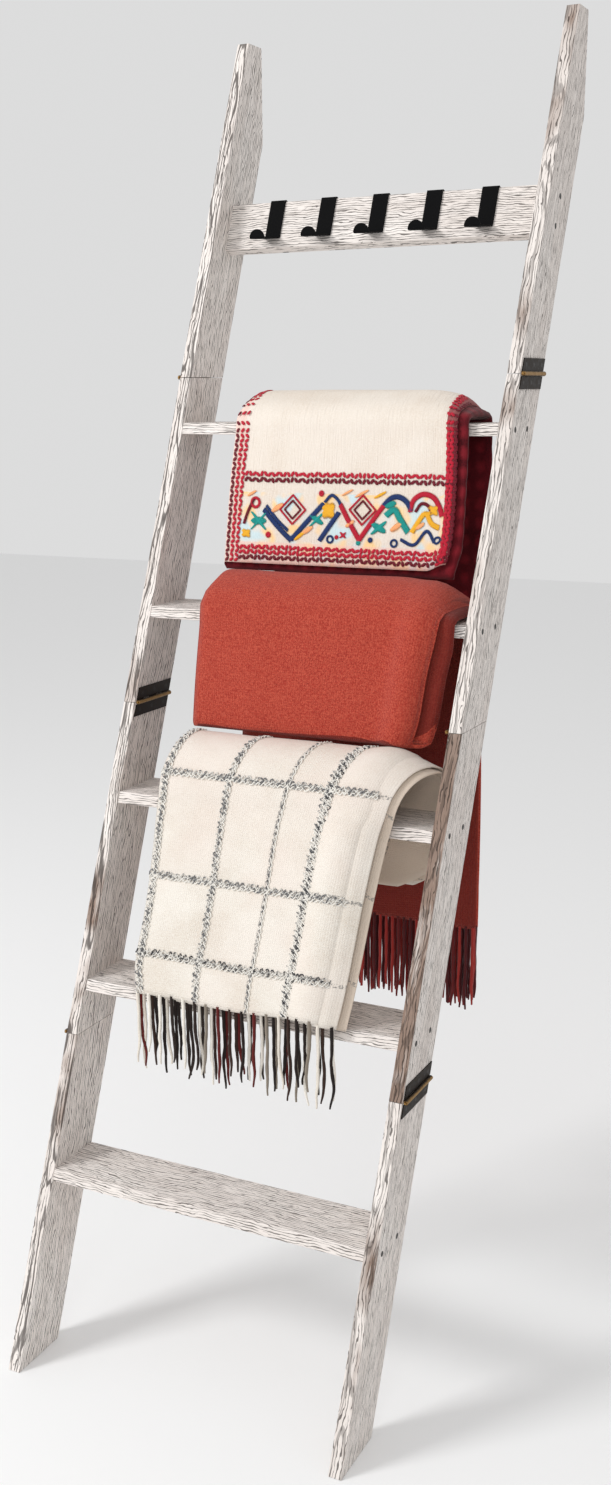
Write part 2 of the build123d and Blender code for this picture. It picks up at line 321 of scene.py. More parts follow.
def plain_metal(name, colour, rough, metallic, grain=400.0, depth=0.00004, shine=0.5):
    """Metal or paint of one colour, a little uneven."""
    metal = Shader(name)
    place = metal.place()
    fine = metal.noise(place, grain, 3.0, 0.6)
    metal.set(Base_Color=metal.mix(metal.ramp(fine, (0.3, 0.0), (0.7, 0.35)), colour,
                                   tuple(1.5 * c for c in colour[:3]) + (1,)),
              Metallic=metallic, Specular_IOR_Level=shine,
              Roughness=metal.ramp(fine, (0.3, rough - 0.06), (0.7, rough + 0.08)))
    metal.bump((fine, depth))
    return metal.material


class LADDER_OT_metal(bpy.types.Operator):
    """Finish the hinges, pins and hooks"""
    bl_idname = "ladder.metal"
    bl_label = "Hinges and hooks"

    def execute(self, context):
        brass = plain_metal("aged_brass", srgb(150, 116, 68), 0.35, 1.0)
        for hinge in HINGES:
            low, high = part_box(f"left_hinge_{hinge}_pin")
            finish = bronze(f"bronze_{hinge}", (low.z + high.z) / 2)
            for side in SIDES:
                dress(f"{side}_hinge_{hinge}_upper_leaf", finish)
                dress(f"{side}_hinge_{hinge}_lower_leaf", finish)
                dress(f"{side}_hinge_{hinge}_pin", brass)
        black = plain_metal("black_powder_coat", srgb(5, 5, 6), 0.8, 0.0, 900.0, 0.00008, 0.12)
        for hook in HOOKS:
            dress(hook, black)
        steel = plain_metal("dark_screw_steel", srgb(40, 36, 33), 0.4, 0.8)
        for node in ("left_tread_screws", "right_tread_screws", "hook_board_screws",
                     "left_hinge_screws", "right_hinge_screws"):
            dress(node, steel)
        return {"FINISHED"}


# --- folded cloth -----------------------------------------------------------

def rounded(points, radius, step):
    """Distances and (y, z) places along a line whose corners are rounded."""
    points = [np.array(p, float) for p in points]
    path = [points[0]]
    for before, corner, after in zip(points, points[1:], points[2:]):
        came = (before - corner) / np.linalg.norm(before - corner)
        goes = (after - corner) / np.linalg.norm(after - corner)
        half = np.arccos(np.clip(came @ goes, -1, 1)) / 2
        middle = (came + goes) / np.linalg.norm(came + goes)
        centre = corner + middle * radius / sin(half)
        start = corner + came * radius / tan(half) - centre
        end = corner + goes * radius / tan(half) - centre
        turn = pi - 2 * half
        path += [centre + (start * sin((1 - t) * turn) + end * sin(t * turn)) / sin(turn)
                 for t in np.linspace(0, 1, 24)]
    path = np.array(path + [points[-1]])
    run = np.concatenate([[0], np.cumsum(np.linalg.norm(np.diff(path, axis=0), axis=1))])
    even = np.linspace(0, run[-1], int(round(run[-1] / step)) + 1)
    return even, np.column_stack([np.interp(even, run, path[:, i]) for i in (0, 1)])


class Fold:
    """Cloth pleated into layers, hung over a tread, and perhaps doubled end to end.

    s runs along the inner face from the front hem, over the tread, to the back hem.
    share runs across from the left edge, 0, to the right edge, 1. Layers count from the
    outermost. A doubled cloth has an outer and an inner half, ply 1 and -1.

    front is the gap before the tread, the slope of the front leg and its drop; back is the gap
    behind the tread and the back leg's drop; crest is the hollow over the tread, the rise of
    the outermost layer and the radius of the inner corners. inside is the CAD node whose space
    the cloth keeps to."""

    def __init__(self, tread, inside, front, back, thick, crest, cloth, layers, doubled, left,
                 right, left_step, right_step, droop, wave, squeeze, seed, left_droop=0.0,
                 roll=0.012, ply_step=0.0, swell=(0.0, 0.86), hem=None):
        low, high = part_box(tread)
        top = high.z
        lower_front = (high.z - low.z) * tan(LEAN)
        near, far = low.y + lower_front, high.y
        (gap, lean, drop), (back_gap, back_drop) = front, back
        hollow, rise, corner = crest
        inner, outer = near - gap + thick, far + back_gap - thick
        peak = top + hollow
        corners = [(inner - lean * drop, top - drop), (inner, top), (inner, peak), (outer, peak),
                   (outer, top - back_drop)]
        if lean < 0.2:
            corners.pop(1)
            corners[0] = (inner - lean * (drop + hollow), top - drop)
        self.s, self.path = rounded(corners, corner, 0.004)
        self.length = self.s[-1]
        way = np.gradient(self.path, self.s, axis=0)
        for _ in range(8):
            way[1:-1] = (way[:-2] + 2 * way[1:-1] + way[2:]) / 4
        way /= np.linalg.norm(way, axis=1)[:, None]
        self.way = way
        self.thick, self.cloth = thick, cloth
        self.layers, self.doubled = layers, doubled
        self.top, self.peak = top, peak
        over = self.path[:, 1]
        self.crest_share = smoothstep(over, top - 0.006, top + min(hollow, 0.02))
        self.full_dome = self.dome(near - gap, far + back_gap, rise)
        self.half_dome = self.dome(near - gap, far + back_gap, rise / 2)
        split = int(np.argmax(over > peak - 1e-4)) if hollow < 0.02 else int(np.argmax(over))
        self.split = self.s[split] if hollow > 0.02 else self.length_to((inner + outer) / 2)
        self.left = self.edge(left, split)
        self.right = self.edge(right, split)
        self.left_step, self.right_step, self.ply_step = left_step, right_step, ply_step
        self.droop, self.left_droop, self.swell = droop, left_droop, swell
        self.wave, self.seed, self.squeeze, self.roll = wave, seed, squeeze, roll
        self.hem = hem or (lambda share, layer: 0 * share)
        self.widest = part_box(inside)[1].x

    def dome(self, front, back, rise):
        """Thickness from the inner face out to an elliptical crest of that rise."""
        across, up = self.path[:, 0] - (front + back) / 2, self.path[:, 1] - self.top
        out_y, out_z = -self.way[:, 1], self.way[:, 0]
        wide, tall = ((back - front) / 2) ** 2, rise ** 2
        a = out_y ** 2 / wide + out_z ** 2 / tall
        b = 2 * (across * out_y / wide + up * out_z / tall)
        c = across ** 2 / wide + up ** 2 / tall - 1
        reach = (-b + np.sqrt(np.clip(b * b - 4 * a * c, 0, None))) / (2 * a)
        reach = np.where(up < 0, self.thick, reach)
        for _ in range(14):
            reach[1:-1] = (reach[:-2] + 2 * reach[1:-1] + reach[2:]) / 4
        return reach

    @staticmethod
    def lift_inner(depth, share):
        """Over the crest, the middle layer keeps close under the outermost, but lies down
        towards the right edge."""
        kept = 1 - 0.75 * smoothstep(share, 0.86, 0.97)
        return depth + (np.interp(depth, (0.0, 0.5, 1.0), (0.0, 0.24, 0.0))) * kept

    def length_to(self, y):
        """s where the crest passes over y."""
        high = self.path[:, 1] > self.peak - 0.004
        return float(np.interp(y, self.path[high, 0], self.s[high]))

    def swollen(self, share, s, ply, crest):
        """How far the outer half stands off in a soft roll along the right edge."""
        height, start = self.swell
        across = np.clip((share - start) / (1 - start), 0, 1)
        rising = smoothstep(across, 0.0, 0.55)
        falling = np.sqrt(1 - 0.98 * np.clip(across / 0.45 - 1.2222, 0, 1) ** 2)
        ahead = 1 - smoothstep(s, self.split - 0.01, self.split + 0.07)
        return height * rising * falling * (1 + ply) / 2 * ahead * (1 - 0.6 * crest)

    def edge(self, places, split):
        """x of an edge along s, from (height, x) pairs up the front and down the back."""
        front, back = places
        z = self.path[:, 1]
        rows = [(float(np.interp(h, z[:split + 1], self.s[:split + 1])), x) for h, x in front]
        far = self.s > self.split
        rows += [(float(np.interp(-h, -z[far], self.s[far])), x) for h, x in back]
        at, x = np.array(sorted(rows)).T
        smooth = np.interp(self.s, at, x)
        for _ in range(60):
            smooth[1:-1] = (smooth[:-2] + 2 * smooth[1:-1] + smooth[2:]) / 4
        return smooth

    def along(self, s, values):
        return np.interp(np.clip(s, 0, self.length), self.s, values)

    def place(self, share, s, layer=0.0, ply=1.0, turn=0.0, bulge=0.0, lift=0.0):
        """Points on the middle of the cloth, or lift above it, as an array of x, y, z."""
        share, s, layer, ply, turn, bulge, lift = np.broadcast_arrays(
            *[np.asarray(v, float) for v in (share, s, layer, ply, turn, bulge, lift)])
        total = 2 * self.layers if self.doubled else self.layers
        depth = 1 - layer / max(total - 1, 1)
        free = self.thick - self.cloth
        end = 0.0
        if self.doubled:
            end = turn * (depth - 0.5) * free
            depth = 0.5 + ply * (depth - 0.5)
        s = s + self.hem(share, layer) * (1 - smoothstep(s, 0.0, 0.11))
        s = s + (end if self.doubled == "back" else -end)
        low = self.along(s, self.left) + np.interp(layer, range(self.layers), self.left_step)
        high = self.along(s, self.right) + np.interp(layer, range(self.layers), self.right_step)
        ahead = 1 - smoothstep(s, self.split - 0.01, self.split + 0.07)
        high = np.minimum(high + self.ply_step * (1 - ply) / 2 * ahead, self.widest)
        x = low + share * (high - low)
        width = high - low
        crest = self.along(s, self.crest_share)
        reach, depth_lost = self.droop
        past = np.clip((share - 1) * FOLDED_WIDTH / reach + 1, 0, 1)
        drooped = 1 - depth_lost * (1 - np.sqrt(1 - 0.98 * past ** 2))
        past = np.clip(1 - share / 0.10, 0, 1)
        drooped = drooped - self.left_droop * (1 - np.sqrt(1 - 0.98 * past ** 2))
        full, low_dome = self.along(s, self.full_dome), self.along(s, self.half_dome)
        stack = low_dome + (full - low_dome) * (2 * drooped - 1)
        stack = np.clip(stack, self.thick * 0.8, None) - self.cloth
        edge = np.clip(np.minimum(share * 2, 1 - share) * width, 0, None)
        inward = np.clip(1 - edge / self.roll, 0, 1)
        round_off = 1 - self.squeeze * (1 - np.sqrt(1 - 0.98 * inward ** 2))
        half = 0.5 + 0.25 * ply if self.doubled else 0.5
        if not self.doubled:
            depth = depth + (self.lift_inner(depth, share) - depth) * crest
        depth = half + (depth - half) * round_off
        x = x + bulge * (stack * round_off / max(total - 1, 1)) / 2
        out = self.cloth / 2 + stack * depth
        out = out + self.swollen(share, s, ply, crest)
        loose = 1 - crest
        shape = np.column_stack([x.ravel() * 6, s.ravel() * 4.5, 0 * x.ravel()])
        fine = np.column_stack([x.ravel() * 21, s.ravel() * 11, 0 * x.ravel() + 3])
        wave = bumps(shape, self.seed) + 0.3 * bumps(fine, self.seed + 5)
        out = out + self.wave * (0.35 + 0.65 * loose) * wave.reshape(x.shape) * depth + lift
        y = self.along(s, self.path[:, 0])
        z = self.along(s, self.path[:, 1])
        way_y, way_z = self.along(s, self.way[:, 0]), self.along(s, self.way[:, 1])
        beyond = np.where(s < 0, s, np.where(s > self.length, s - self.length, 0))
        y = y + way_y * beyond - way_z * out
        z = z + way_z * beyond + way_y * out
        return np.stack([x, y, z], axis=-1)

    def frame_at(self, share, s, lift=0.0, **where):
        """Place on the outer face, the way along it and its normal, for seams and yarn."""
        share, s = np.broadcast_arrays(np.asarray(share, float), np.asarray(s, float))
        small = 0.002
        lift = lift + self.cloth / 2
        spot = self.place(share, s, lift=lift, **where)
        ahead = self.place(share, s + small, lift=lift, **where) - spot
        aside = self.place(share + small / FOLDED_WIDTH, s, lift=lift, **where) - spot
        normal = np.cross(aside, ahead)
        normal /= np.linalg.norm(normal, axis=-1, keepdims=True) + 1e-12
        ahead /= np.linalg.norm(ahead, axis=-1, keepdims=True) + 1e-12
        return spot, ahead, normal

    def height_to_s(self, z):
        """s where the front leg is at height z."""
        part = self.s < self.split
        return float(np.interp(z, self.path[part, 1], self.s[part]))

    def sheet(self, name, cell, start_right, materials, puff=None):
        """The whole cloth as one closed mesh, with a UV map in metres."""
        columns = []
        count = int(round(FOLDED_WIDTH / cell))
        for layer in range(self.layers):
            shares = np.linspace(0, 1, count + 1)
            if (layer % 2 == 0) == start_right:
                shares = shares[::-1]
            columns += [(layer, q, 0.0) for q in shares]
            if layer < self.layers - 1:
                side = 1 if shares[-1] > 0.5 else -1
                columns += [(layer + (1 - cos(t)) / 2, shares[-1], side * sin(t))
                            for t in (pi / 5, 2 * pi / 5, 3 * pi / 5, 4 * pi / 5)]
        layer, share, bulge = np.array(columns).T[:, None, :]
        steps = np.linspace(0, self.length, int(round(self.length / cell)) + 1)
        if self.doubled:
            inset = (self.thick - self.cloth) / 2
            if self.doubled == "back":
                steps = np.linspace(0, self.length - inset, len(steps))
            else:
                steps = np.linspace(self.length, inset, len(steps))
            turns = np.linspace(0, pi, 9)[1:-1]
            rows = [(s, 1.0, 0.0) for s in steps]
            rows += [(steps[-1], cos(t), sin(t)) for t in turns]
            rows += [(s, -1.0, 0.0) for s in steps[::-1]]
        else:
            rows = [(s, 1.0, 0.0) for s in steps]
        s, ply, turn = np.array(rows).T[:, :, None]
        points = self.place(share, s, layer, ply, turn, bulge)
        height, width = points.shape[:2]
        across = np.linalg.norm(np.diff(points, axis=1), axis=2)
        u = np.concatenate([np.zeros((height, 1)), np.cumsum(across, axis=1)], axis=1)
        down = np.linalg.norm(np.diff(points, axis=0), axis=2)
        v = np.concatenate([np.zeros((1, width)), np.cumsum(down, axis=0)], axis=0)
        self.flat = (float(np.median(u[:, -1])), float(np.median(v[-1])))
        self.outer_run = float(v[len(steps) - 1].max())
        index = np.arange(height * width).reshape(height, width)
        quads = np.stack([index[:-1, :-1], index[:-1, 1:], index[1:, 1:], index[1:, :-1]], -1)
        quads = quads.reshape(-1, 4)
        a, b, c = (points[i, j] for i, j in ((1, 1), (1, 2), (2, 1)))
        outward = self.frame_at(share[0, 1], s[1, 0])[2]
        if np.cross(b - a, c - a) @ outward < 0:
            quads = quads[:, ::-1]
        made = mesh_object(name, points.reshape(-1, 3), quads.tolist(), materials[0])
        for extra in materials[1:]:
            made.data.materials.append(extra)
        uv = made.data.uv_layers.new(name="cloth")
        corner = np.zeros(len(made.data.loops), int)
        made.data.loops.foreach_get("vertex_index", corner)
        flat_u = np.broadcast_to(np.median(u, axis=0)[None, :], u.shape).ravel()
        uv.data.foreach_set("uv", np.column_stack([flat_u, v.ravel()])[corner].ravel())
        wall = made.modifiers.new("wall", "SOLIDIFY")
        wall.thickness = self.cloth * CLOTH_FILL
        wall.offset = 0.0
        wall.use_even_offset = False
        if len(materials) > 1:
            wall.material_offset = 1
            wall.material_offset_rim = 1
        if puff is not None:
            group = made.vertex_groups.new(name="puff")
            weights = puff(flat_u, v.ravel(), np.broadcast_to(layer, u.shape).ravel())
            for number, weight in enumerate(weights):
                group.add([number], float(weight), "REPLACE")
            wall.vertex_group = "puff"
        return finished(made)


def finished(made):
    """Turn an object's modifiers into its plain mesh."""
    graph = bpy.context.evaluated_depsgraph_get()
    graph.update()
    mesh = bpy.data.meshes.new_from_object(made.evaluated_get(graph))
    mesh.name = made.name
    old = made.data
    made.modifiers.clear()
    made.data = mesh
    bpy.data.meshes.remove(old)
    return made


# --- geometry nodes -----------------------------------------------------------

class Growth(Nodes):
    """Geometry node tree with named inputs."""

    def __init__(self, name, **inputs):
        self.tree = bpy.data.node_groups.new(name, "GeometryNodeTree")
        face = self.tree.interface
        face.new_socket("Guide", in_out="INPUT", socket_type="NodeSocketGeometry")
        face.new_socket("Made", in_out="OUTPUT", socket_type="NodeSocketGeometry")
        self.values = inputs
        for key, value in inputs.items():
            kind = "NodeSocketInt" if isinstance(value, int) else "NodeSocketFloat"
            face.new_socket(key.replace("_", " "), in_out="INPUT", socket_type=kind)
        self.inputs = self.tree.nodes.new("NodeGroupInput")
        self.output = self.tree.nodes.new("NodeGroupOutput")

    def __getitem__(self, name):
        return self.inputs.outputs[name]

    def vector(self, operation, a, b=(0, 0, 0), scale=1.0):
        made = self.node("ShaderNodeVectorMath", {0: a}, operation=operation)
        if operation == "SCALE":
            self.put(scale, made.inputs["Scale"])
        else:
            self.put(b, made.inputs[1])
        return made.outputs[0]

    def attribute(self, name, kind="FLOAT"):
        return self.node("GeometryNodeInputNamedAttribute", {"Name": name},
                         data_type=kind).outputs[0]

    def random(self, seed, number):
        """Value from 0 to 1 for each numbered item."""
        return self.node("FunctionNodeRandomValue", {
            2: 0.0, 3: 1.0, "Seed": seed, "ID": number}, data_type="FLOAT").outputs[1]

    def grow(self, guide, made, material):
        """End the tree, run it on the guide object, and leave a plain mesh."""
        whole = self.node("GeometryNodeRealizeInstances", {0: made}).outputs[0]
        whole = self.node("GeometryNodeSetShadeSmooth", {0: whole}).outputs[0]
        whole = self.node("GeometryNodeSetMaterial", {0: whole, "Material": material}).outputs[0]
        self.tree.links.new(whole, self.output.inputs[0])
        step = guide.modifiers.new("growth", "NODES")
        step.node_group = self.tree
        for item in self.tree.interface.items_tree:
            key = item.name.replace(" ", "_")
            if item.in_out == "INPUT" and key in self.values:
                step[item.identifier] = self.values[key]
        finished(guide)
        if len(guide.data.polygons) == 0:
            raise RuntimeError(f"{guide.name} came out empty")
        return guide


def guide_lines(name, lines, **attributes):
    """Edges along lines of points, with values stored on every point."""
    points, edges = [], []
    for line in lines:
        first = len(points)
        points += [tuple(p) for p in line]
        edges += [(i, i + 1) for i in range(first, len(points) - 1)]
    mesh = bpy.data.meshes.new(name)
    mesh.from_pydata(points, edges, [])
    for key, rows in attributes.items():
        rows = np.concatenate([np.asarray(r, float) for r in rows])
        kind = "FLOAT_VECTOR" if rows.ndim == 2 else "FLOAT"
        layer = mesh.attributes.new(key, kind, "POINT")
        layer.data.foreach_set("vector" if rows.ndim == 2 else "value", rows.ravel())
    return scene_object(name, mesh)


def guide_points(name, points, **attributes):
    """Loose points with values stored on each."""
    return guide_lines(name, [[p] for p in points], **{k: [v] for k, v in attributes.items()})


def fringe(name, lines, material, count, length, radius, seed, spread, twist, shortest):
    """Two-ply strands of uneven length hanging from hem lines."""
    tree = Growth(name, Strands=count, Length=length, Radius=radius, Spread=spread,
                  Twist=twist, Shortest=shortest, Seed=seed)
    curve = tree.node("GeometryNodeMeshToCurve", {0: tree["Guide"]}).outputs[0]
    curve = tree.node("GeometryNodeResampleCurve", {0: curve, "Count": tree["Strands"]}).outputs[0]
    number = tree.node("GeometryNodeInputIndex").outputs[0]
    strand = tree.node("GeometryNodeCurvePrimitiveLine", {
        "Start": (0, 0, 0.015), "End": (0, 0, -1)}).outputs[0]
    strand = tree.node("GeometryNodeResampleCurve", {0: strand, "Count": 44}).outputs[0]
    share = tree.random(tree["Seed"], number)
    share = tree.sub(1.0, tree.mul(share, tree.sub(1.0, tree["Shortest"])))
    tint = tree.random(77, number)
    stored = tree.node("GeometryNodeStoreNamedAttribute", {
        0: curve, "Name": "tint", "Value": tint}, data_type="FLOAT", domain="POINT").outputs[0]
    size = tree.mul(tree["Length"], share)
    scale = tree.node("ShaderNodeCombineXYZ", {0: 1.0, 1: 1.0, 2: size}).outputs[0]
    placed = tree.node("GeometryNodeInstanceOnPoints", {
        "Points": stored, "Instance": strand, "Scale": scale}).outputs[0]
    placed = tree.node("GeometryNodeRealizeInstances", {0: placed}).outputs[0]
    down = tree.node("GeometryNodeSplineParameter").outputs["Factor"]
    place = tree.node("GeometryNodeInputPosition").outputs[0]
    own = tree.mul(tree.attribute("tint"), 91.0)
    z = tree.node("ShaderNodeSeparateXYZ", {0: place}).outputs[2]
    coarse = tree.node("ShaderNodeCombineXYZ", {
        0: own, 1: tree.mul(z, 14.0), 2: tree["Seed"]}).outputs[0]
    drift = tree.node("ShaderNodeTexNoise", {"Vector": coarse, "Scale": 1.0, "Detail": 1.0}
                      ).outputs["Color"]
    drift = tree.vector("SUBTRACT", drift, (0.5, 0.5, 0.5))
    drift = tree.vector("MULTIPLY", drift, (1.0, 0.25, 0.12))
    away = tree.mul(tree.math("POWER", down, 1.3), tree.mul(tree["Spread"], tree["Length"]))
    moved = tree.node("GeometryNodeSetPosition", {
        0: placed, "Offset": tree.vector("SCALE", drift, scale=away)}).outputs[0]
    moved = tree.node("GeometryNodeSetCurveTilt", {
        0: moved, "Tilt": tree.mul(down, tree.mul(tree["Twist"], 2 * pi))}).outputs[0]
    ply = tree.node("GeometryNodeCurvePrimitiveCircle", {
        "Resolution": 6, "Radius": tree["Radius"]}).outputs[0]
    ply = tree.node("GeometryNodeTransform", {0: ply, "Scale": (1.0, 0.85, 1.0)}).outputs[0]
    taper = tree.sub(1.12, tree.mul(tree.math("POWER", down, 5.0), 0.55))
    moved = tree.node("GeometryNodeSetCurveRadius", {0: moved, "Radius": taper}).outputs[0]
    tube = tree.node("GeometryNodeCurveToMesh", {
        0: moved, "Profile Curve": ply, "Scale": taper, "Fill Caps": True}).outputs[0]
    return tree.grow(guide_lines(name, lines), tube, material)


def boucle(name, lines, normals, sides, widths, phases, tints, material, radius):
    """Looped fancy yarn couched along lines on a cloth: each line wanders to both sides."""
    tree = Growth(name, Radius=radius, Loop=0.0085)
    curve = tree.node("GeometryNodeMeshToCurve", {0: tree["Guide"]}).outputs[0]
    curve = tree.node("GeometryNodeResampleCurve", {0: curve, "Length": 0.0016},
                      mode="LENGTH").outputs[0]
    run = tree.node("GeometryNodeSplineParameter").outputs["Length"]
    phase = tree.attribute("phase")
    width = tree.attribute("width")
    turn = tree.add(tree.mul(tree.math("DIVIDE", run, tree["Loop"]), 2 * pi), phase)
    place = tree.node("GeometryNodeInputPosition").outputs[0]
    rough = tree.node("ShaderNodeTexNoise", {"Vector": place, "Scale": 130.0, "Detail": 2.0}
                      ).outputs["Fac"]
    turn = tree.add(turn, tree.mul(rough, 9.0))
    swing = tree.mul(tree.math("SINE", turn), width)
    rise = tree.mul(tree.add(tree.math("COSINE", turn), 0.9), tree.mul(tree["Radius"], 0.9))
    offset = tree.vector("ADD", tree.vector("SCALE", tree.attribute("side", "FLOAT_VECTOR"),
                                            scale=swing),
                         tree.vector("SCALE", tree.attribute("normal", "FLOAT_VECTOR"),
                                     scale=rise))
    moved = tree.node("GeometryNodeSetPosition", {0: curve, "Offset": offset}).outputs[0]
    ring = tree.node("GeometryNodeCurvePrimitiveCircle", {
        "Resolution": 5, "Radius": tree["Radius"]}).outputs[0]
    tube = tree.node("GeometryNodeCurveToMesh", {0: moved, "Profile Curve": ring,
                                                 "Fill Caps": True}).outputs[0]
    guide = guide_lines(name, lines, normal=normals, side=sides, width=widths, phase=phases,
                        tint=tints)
    return tree.grow(guide, tube, material)


def stitches(name, points, normals, ways, sizes, tints, material):
    """Short raised stitches of embroidery thread on a cloth."""
    tree = Growth(name)
    thread = tree.node("GeometryNodeMeshUVSphere", {
        "Segments": 6, "Rings": 5, "Radius": 0.5}).outputs[0]
    upright = tree.node("FunctionNodeAlignRotationToVector", {
        "Vector": tree.attribute("normal", "FLOAT_VECTOR")}, axis="Z").outputs[0]
    laid = tree.node("FunctionNodeAlignRotationToVector", {
        "Rotation": upright, "Vector": tree.attribute("way", "FLOAT_VECTOR")},
        axis="X", pivot_axis="Z").outputs[0]
    placed = tree.node("GeometryNodeInstanceOnPoints", {
        "Points": tree["Guide"], "Instance": thread, "Rotation": laid,
        "Scale": tree.attribute("size", "FLOAT_VECTOR")}).outputs[0]
    guide = guide_points(name, points, normal=normals, way=ways, size=sizes, tint=tints)
    return tree.grow(guide, placed, material)


# --- sizes and colours a maker may change ---------------------------------------

def colour_prop(name, text, default):
    return bpy.props.FloatVectorProperty(name=name, description=text, default=default[:3],
                                         subtype="COLOR", size=3, min=0, max=1)


def length_prop(name, text, default):
    return bpy.props.FloatProperty(name=name, description=text, default=default, min=0,
                                   precision=4, subtype="DISTANCE", unit="LENGTH")


class QuiltSettings(bpy.types.PropertyGroup):
    cream: colour_prop("Face", "Cotton of the quilt's face", srgb(232, 223, 213))
    backing: colour_prop("Backing", "Cotton of the quilt's back", srgb(98, 12, 24))
    layer: length_prop("Layer", "Thickness of the quilt in one layer", 0.0052)


class WoolSettings(bpy.types.PropertyGroup):
    colour: colour_prop("Wool", "Main colour of the wool throw", srgb(178, 60, 46))
    layer: length_prop("Layer", "Thickness of the wool in one layer", 0.0028)
    fringe: length_prop("Fringe", "Longest strand of the fringe", 0.131)
    yarn: length_prop("Yarn", "Radius of a strand", 0.0026)
    strands: bpy.props.IntProperty(name="Strands", description="Strands along each hem",
                                   default=40, min=4)


class PlaidSettings(bpy.types.PropertyGroup):
    cream: colour_prop("Wool", "Ground colour of the plaid throw", srgb(234, 229, 220))
    layer: length_prop("Layer", "Thickness of the plaid in one layer", 0.0025)
    fringe: length_prop("Fringe", "Longest strand of the fringe", 0.124)
    yarn: length_prop("Yarn", "Radius of a strand", 0.0024)
    strands: bpy.props.IntProperty(name="Strands", description="Strands along each hem",
                                   default=17, min=4)


# --- cloth finishes -----------------------------------------------------------

def woven(name, colour, pale, deep, thread, depth, sheen, nap=0.35, blotch=9.0, mottle=0.5):
    """Woven cloth with a soft nap; returns the shader and its colour for more work."""
    cloth = Shader(name)
    flat = cloth.place(source="UV", scale=(1 / thread, 1 / thread, 1))
    weave = cloth.mul(*[cloth.node("ShaderNodeTexWave", {
        "Vector": flat, "Scale": 0.159, "Distortion": 1.2, "Detail": 1.0},
        bands_direction=axis).outputs["Fac"] for axis in "XY"])
    solid = cloth.place()
    fibre = cloth.noise(solid, 620.0, 3.0, 0.7)
    cloudy = cloth.noise(solid, blotch, 3.0, 0.55)
    shade = cloth.mix(cloth.ramp(fibre, (0.36, 0.0), (0.66, 1.0)), deep, colour)
    shade = cloth.mix(cloth.ramp(cloudy, (0.38, 0.0), (0.62, mottle)), shade, pale)
    shade = cloth.mix(cloth.ramp(weave, (0.0, 0.22), (0.5, 0.0)), shade, deep)
    cloth.set(Base_Color=shade, Roughness=0.9, Specular_IOR_Level=0.15, Sheen_Weight=sheen,
              Sheen_Roughness=0.5)
    cloth.bump((weave, depth), (fibre, depth * nap * 2), (cloth.noise(solid, 150.0, 3.0, 0.6),
                                                         depth * 1.6))
    return cloth, shade


def thread_finish(name, *colours, sheen, rough=0.75, twist=900.0, flecks=0.0):
    """Spun yarn whose colour comes from the tint stored on it."""
    yarn = Shader(name)
    tint = yarn.node("ShaderNodeAttribute", attribute_name="tint").outputs["Fac"]
    made = yarn.node("ShaderNodeValToRGB", {"Fac": tint})
    points = made.color_ramp.elements
    made.color_ramp.interpolation = "CONSTANT"
    while len(points) < len(colours):
        points.new(1.0)
    for i, (point, colour) in enumerate(zip(points, colours)):
        point.position = i / len(colours)
        point.color = colour
    place = yarn.place()
    fibre = yarn.noise(place, twist, 2.0, 0.6)
    spun = made.outputs[0]
    if flecks:
        spun = yarn.mix(yarn.ramp(yarn.noise(place, 150.0, 2.0, 0.6), (0.47, 0.0),
                                  (0.53, flecks)), spun, colours[-1])
    dark = yarn.mix(yarn.ramp(fibre, (0.35, 0.12), (0.55, 0.0)), spun,
                    (0.02, 0.015, 0.012, 1))
    yarn.set(Base_Color=dark, Roughness=rough, Specular_IOR_Level=0.2, Sheen_Weight=sheen)
    yarn.bump((fibre, 0.0004))
    return yarn.material


def stripe(shader, coordinate, places, half, ragged):
    """1 inside stripes centred on places along a coordinate, 0 outside."""
    found = None
    for place in places:
        off = shader.math("ABSOLUTE", shader.sub(coordinate, place))
        off = shader.add(off, shader.mul(ragged, half * 0.8))
        inside = shader.math("LESS_THAN", off, half * 1.3)
        found = inside if found is None else shader.most(found, inside)
    return found


# --- quilt ----------------------------------------------------------------------

BAND = (1.124, 1.203)         # heights of the embroidered band on the front of the quilt
FACE_WIDTH = 0.322            # from the left edge to the right border
NAVY, CRIMSON, TEAL, AMBER, WINE, PEACH = (0.08, 0.25, 0.42, 0.58, 0.75, 0.92)


def curve_through(points, step):
    """Smooth line through points, with one point every step."""
    points = [np.array(p, float) for p in points]
    if len(points) > 2:
        ends = [2 * points[0] - points[1]] + points + [2 * points[-1] - points[-2]]
        fine = []
        for a, b, c, d in zip(ends, ends[1:], ends[2:], ends[3:]):
            for t in np.linspace(0, 1, 12, endpoint=False):
                fine.append(0.5 * (2 * b + (c - a) * t + (2 * a - 5 * b + 4 * c - d) * t * t
                                   + (3 * b - a - 3 * c + d) * t ** 3))
        points = fine + [points[-1]]
    points = np.array(points)
    run = np.concatenate([[0], np.cumsum(np.linalg.norm(np.diff(points, axis=0), axis=1))])
    even = np.arange(0, run[-1], step)
    return np.column_stack([np.interp(even, run, points[:, i]) for i in (0, 1)])


